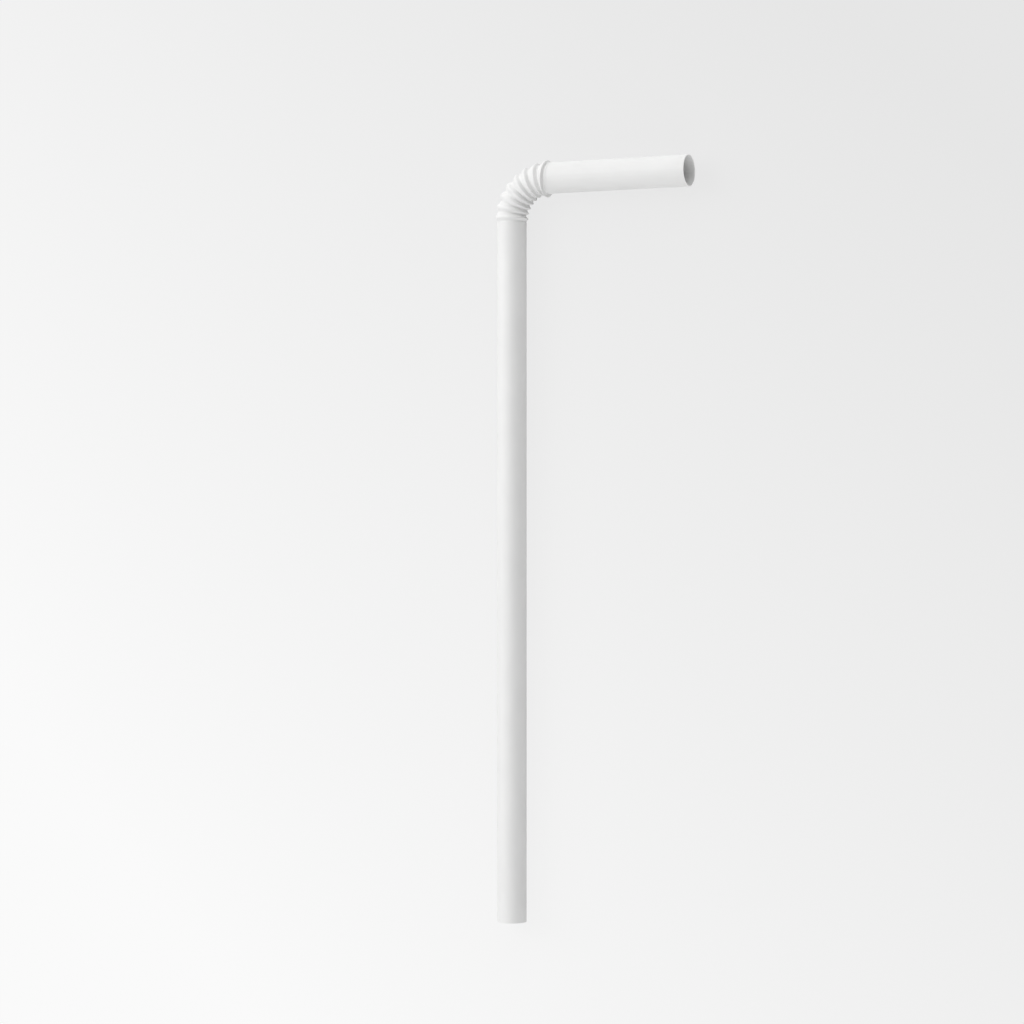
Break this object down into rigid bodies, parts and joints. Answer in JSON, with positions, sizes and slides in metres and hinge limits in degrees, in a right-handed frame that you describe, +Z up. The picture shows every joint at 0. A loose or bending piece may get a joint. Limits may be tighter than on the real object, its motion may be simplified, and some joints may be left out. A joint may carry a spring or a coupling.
{
  "type": "flexible drinking straw",
  "caption": "White plastic drinking straw: a long thin tube with a pleated neck, bent so that its short mouthpiece points sideways, open at both ends.",
  "frame": {"origin": "middle of the straw's box, on the surface that it lies on", "axes": "+Z up, the stem along Y with its foot at -Y, the mouthpiece towards +X"},
  "size_m": [0.0448, 0.1638, 0.0079],
  "materials": {
    "white_plastic": "satin, slightly translucent white polypropylene"
  },
  "bodies": {
    "root": {"straw": "white_plastic"}
  },
  "joints": []
}
